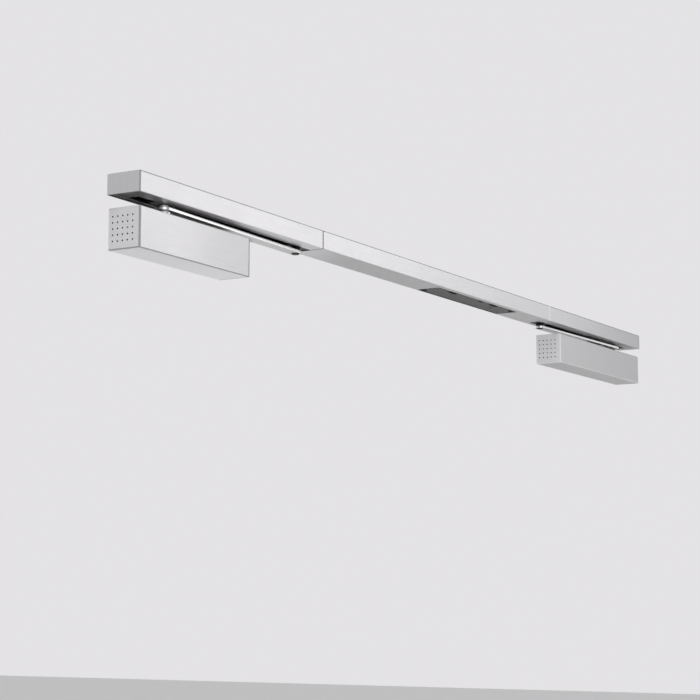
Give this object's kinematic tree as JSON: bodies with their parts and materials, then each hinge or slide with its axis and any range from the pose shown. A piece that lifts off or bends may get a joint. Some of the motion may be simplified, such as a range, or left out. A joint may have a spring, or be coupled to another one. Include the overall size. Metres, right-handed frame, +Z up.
{
  "type": "double-leaf overhead door closer set",
  "caption": "Overhead door closer set for a double-leaf door: cam-action slide-arm closers, arms and a slide rail with closing-sequence coordinator and smoke detector insert.",
  "frame": {"origin": "middle of the rail's back face, where it is screwed to the frame head", "axes": "+X along the rail from the left leaf to the right leaf, +Y into the frame head, fronts face -Y, +Z up"},
  "size_m": [1.857, 0.0568, 0.1086],
  "materials": {
    "anodised_aluminium": "satin",
    "cap_grey": "fine texture",
    "polished_steel": "polished",
    "zinc_steel": "satin",
    "cast_body": "as cast",
    "hard_steel": "ground",
    "spring_steel": "oiled",
    "black_steel": "black oxide",
    "brass": "turned",
    "black_plastic": "matte",
    "insert_grey": "matte",
    "board_green": "solder mask",
    "lens_green": "clear"
  },
  "bodies": {
    "rail": {"slide_rail_left": "anodised_aluminium", "slide_rail_right": "anodised_aluminium", "centre_rail": "anodised_aluminium", "rail_end_cap_left": "anodised_aluminium", "rail_end_cap_right": "anodised_aluminium", "detector_tray": "insert_grey", "smoke_chamber": "black_plastic", "control_board": "board_green", "power_supply": "black_plastic", "indicator_lens": "lens_green", "hold_open_unit_left": "zinc_steel", "hold_open_unit_right": "zinc_steel"},
    "coordinator_rod": {"coordinator_rod": "zinc_steel"},
    "release_lever": {"release_lever": "zinc_steel"},
    "clamp_lever": {"clamp_lever": "zinc_steel"},
    "reset_button": {"reset_button": "insert_grey"},
    "slider_left": {"slide_block_left": "black_plastic", "slider_pin_left": "black_steel"},
    "arm_left": {"arm_left": "polished_steel", "arm_screw_left": "zinc_steel", "spindle_left": "polished_steel"},
    "closer_left": {"housing_left": "cast_body", "cover_left": "anodised_aluminium", "mounting_plate_left": "zinc_steel", "end_cap_outer_left": "cap_grey", "end_cap_inner_left": "cap_grey", "upper_bearing_left": "hard_steel", "lower_bearing_left": "hard_steel", "closing_spring_left": "spring_steel", "spring_plug_left": "zinc_steel", "damper_plug_left": "zinc_steel"},
    "spring_piston_left": {"spring_piston_left": "hard_steel"},
    "damper_piston_left": {"damper_piston_left": "hard_steel"},
    "spring_roller_left": {"spring_roller_left": "hard_steel"},
    "damper_roller_left": {"damper_roller_left": "hard_steel"},
    "force_adjuster_left": {"force_adjuster_left": "zinc_steel"},
    "closing_valve_left": {"closing_valve_left": "brass"},
    "latching_valve_left": {"latching_valve_left": "brass"},
    "slider_right": {"slide_block_right": "black_plastic", "slider_pin_right": "black_steel"},
    "arm_right": {"arm_right": "polished_steel", "arm_screw_right": "zinc_steel", "spindle_right": "polished_steel"},
    "closer_right": {"housing_right": "cast_body", "cover_right": "anodised_aluminium", "mounting_plate_right": "zinc_steel", "end_cap_outer_right": "cap_grey", "end_cap_inner_right": "cap_grey", "upper_bearing_right": "hard_steel", "lower_bearing_right": "hard_steel", "closing_spring_right": "spring_steel", "spring_plug_right": "zinc_steel", "damper_plug_right": "zinc_steel"},
    "spring_piston_right": {"spring_piston_right": "hard_steel"},
    "damper_piston_right": {"damper_piston_right": "hard_steel"},
    "spring_roller_right": {"spring_roller_right": "hard_steel"},
    "damper_roller_right": {"damper_roller_right": "hard_steel"},
    "force_adjuster_right": {"force_adjuster_right": "zinc_steel"},
    "closing_valve_right": {"closing_valve_right": "brass"},
    "latching_valve_right": {"latching_valve_right": "brass"}
  },
  "joints": [
    {"name": "coordinator_rod_slide", "type": "slide", "parent": "rail", "child": "coordinator_rod", "axis": [1, 0, 0], "range_m": [-0.002, 0]},
    {"name": "release_lever_pivot", "type": "hinge", "parent": "rail", "child": "release_lever", "pos_m": [-0.458, -0.05, -0.0021], "axis": [0, 0, 1], "range_deg": [-3, 0]},
    {"name": "clamp_lever_pivot", "type": "hinge", "parent": "rail", "child": "clamp_lever", "pos_m": [0.458, -0.05, -0.0021], "axis": [0, 0, 1], "range_deg": [0, 3]},
    {"name": "reset_button_press", "type": "slide", "parent": "rail", "child": "reset_button", "axis": [0, 0, 1], "range_m": [0, 0.0012], "stiffness_N_per_m": 200, "springref_m": -0.002},
    {"name": "closer_left_swing", "type": "hinge", "parent": "arm_left", "child": "closer_left", "pos_m": [-0.839, -0.031, -0.0635], "axis": [0, 0, 1], "range_deg": [-133, 0], "stiffness_Nm_per_rad": 8, "springref_deg": 57.3},
    {"name": "slide_block_left_slide", "type": "slide", "parent": "rail", "child": "slider_left", "axis": [1, 0, 0], "range_m": [-0.287, 0]},
    {"name": "arm_left_pivot", "type": "hinge", "parent": "slider_left", "child": "arm_left", "pos_m": [-0.46912, -0.0215, -0.0225], "axis": [0, 0, 1], "range_deg": [0, 23.26]},
    {"name": "spring_piston_left_slide", "type": "slide", "parent": "closer_left", "child": "spring_piston_left", "axis": [1, 0, 0], "range_m": [0, 0.0064], "deforming": ["closing_spring_left"]},
    {"name": "spring_roller_left_turn", "type": "hinge", "parent": "spring_piston_left", "child": "spring_roller_left", "pos_m": [-0.82279, -0.031, -0.0635], "axis": [0, 0, 1], "range_deg": [-254, 0]},
    {"name": "damper_piston_left_slide", "type": "slide", "parent": "closer_left", "child": "damper_piston_left", "axis": [1, 0, 0], "range_m": [0, 0.0064]},
    {"name": "damper_roller_left_turn", "type": "hinge", "parent": "damper_piston_left", "child": "damper_roller_left", "pos_m": [-0.86228, -0.031, -0.0635], "axis": [0, 0, 1], "range_deg": [-267, 0]},
    {"name": "force_adjuster_left_turn", "type": "hinge", "parent": "closer_left", "child": "force_adjuster_left", "pos_m": [-0.665, -0.031, -0.0635], "axis": [1, 0, 0], "range_deg": [-360, 360]},
    {"name": "closing_valve_left_turn", "type": "hinge", "parent": "closer_left", "child": "closing_valve_left", "pos_m": [-0.873, -0.045, -0.0831], "axis": [0, 1, 0], "range_deg": [-360, 360]},
    {"name": "latching_valve_left_turn", "type": "hinge", "parent": "closer_left", "child": "latching_valve_left", "pos_m": [-0.813, -0.045, -0.0831], "axis": [0, 1, 0], "range_deg": [-360, 360]},
    {"name": "closer_right_swing", "type": "hinge", "parent": "arm_right", "child": "closer_right", "pos_m": [0.839, -0.031, -0.0635], "axis": [0, 0, 1], "range_deg": [0, 133], "stiffness_Nm_per_rad": 8, "springref_deg": -57.3},
    {"name": "slide_block_right_slide", "type": "slide", "parent": "rail", "child": "slider_right", "axis": [1, 0, 0], "range_m": [0, 0.287]},
    {"name": "arm_right_pivot", "type": "hinge", "parent": "slider_right", "child": "arm_right", "pos_m": [0.46912, -0.0215, -0.0225], "axis": [0, 0, 1], "range_deg": [-23.26, 0]},
    {"name": "spring_piston_right_slide", "type": "slide", "parent": "closer_right", "child": "spring_piston_right", "axis": [1, 0, 0], "range_m": [-0.0064, 0], "deforming": ["closing_spring_right"]},
    {"name": "spring_roller_right_turn", "type": "hinge", "parent": "spring_piston_right", "child": "spring_roller_right", "pos_m": [0.82279, -0.031, -0.0635], "axis": [0, 0, 1], "range_deg": [0, 254]},
    {"name": "damper_piston_right_slide", "type": "slide", "parent": "closer_right", "child": "damper_piston_right", "axis": [1, 0, 0], "range_m": [-0.0064, 0]},
    {"name": "damper_roller_right_turn", "type": "hinge", "parent": "damper_piston_right", "child": "damper_roller_right", "pos_m": [0.86228, -0.031, -0.0635], "axis": [0, 0, 1], "range_deg": [0, 267]},
    {"name": "force_adjuster_right_turn", "type": "hinge", "parent": "closer_right", "child": "force_adjuster_right", "pos_m": [0.511, -0.031, -0.0635], "axis": [1, 0, 0], "range_deg": [-360, 360]},
    {"name": "closing_valve_right_turn", "type": "hinge", "parent": "closer_right", "child": "closing_valve_right", "pos_m": [0.873, -0.045, -0.0831], "axis": [0, 1, 0], "range_deg": [-360, 360]},
    {"name": "latching_valve_right_turn", "type": "hinge", "parent": "closer_right", "child": "latching_valve_right", "pos_m": [0.813, -0.045, -0.0831], "axis": [0, 1, 0], "range_deg": [-360, 360]}
  ],
  "couplings": [
    {"joint": "release_lever_pivot", "follows": "coordinator_rod_slide", "rad_per_m": 25.307},
    {"joint": "clamp_lever_pivot", "follows": "coordinator_rod_slide", "rad_per_m": -25.307},
    {"joint": "spring_piston_left_slide", "follows": "closer_left_swing", "m_per_rad": -0.0027},
    {"joint": "spring_roller_left_turn", "follows": "closer_left_swing", "ratio": 1.9},
    {"joint": "damper_piston_left_slide", "follows": "closer_left_swing", "m_per_rad": -0.0027},
    {"joint": "damper_roller_left_turn", "follows": "closer_left_swing", "ratio": 2},
    {"joint": "slide_block_left_slide", "follows": "closer_left_swing", "m_per_rad": 0.12342},
    {"joint": "arm_left_pivot", "follows": "closer_left_swing", "ratio": -0.17266},
    {"joint": "spring_piston_right_slide", "follows": "closer_right_swing", "m_per_rad": -0.0027},
    {"joint": "spring_roller_right_turn", "follows": "closer_right_swing", "ratio": 1.9},
    {"joint": "damper_piston_right_slide", "follows": "closer_right_swing", "m_per_rad": -0.0027},
    {"joint": "damper_roller_right_turn", "follows": "closer_right_swing", "ratio": 2},
    {"joint": "slide_block_right_slide", "follows": "closer_right_swing", "m_per_rad": 0.12342},
    {"joint": "arm_right_pivot", "follows": "closer_right_swing", "ratio": -0.17266}
  ]
}
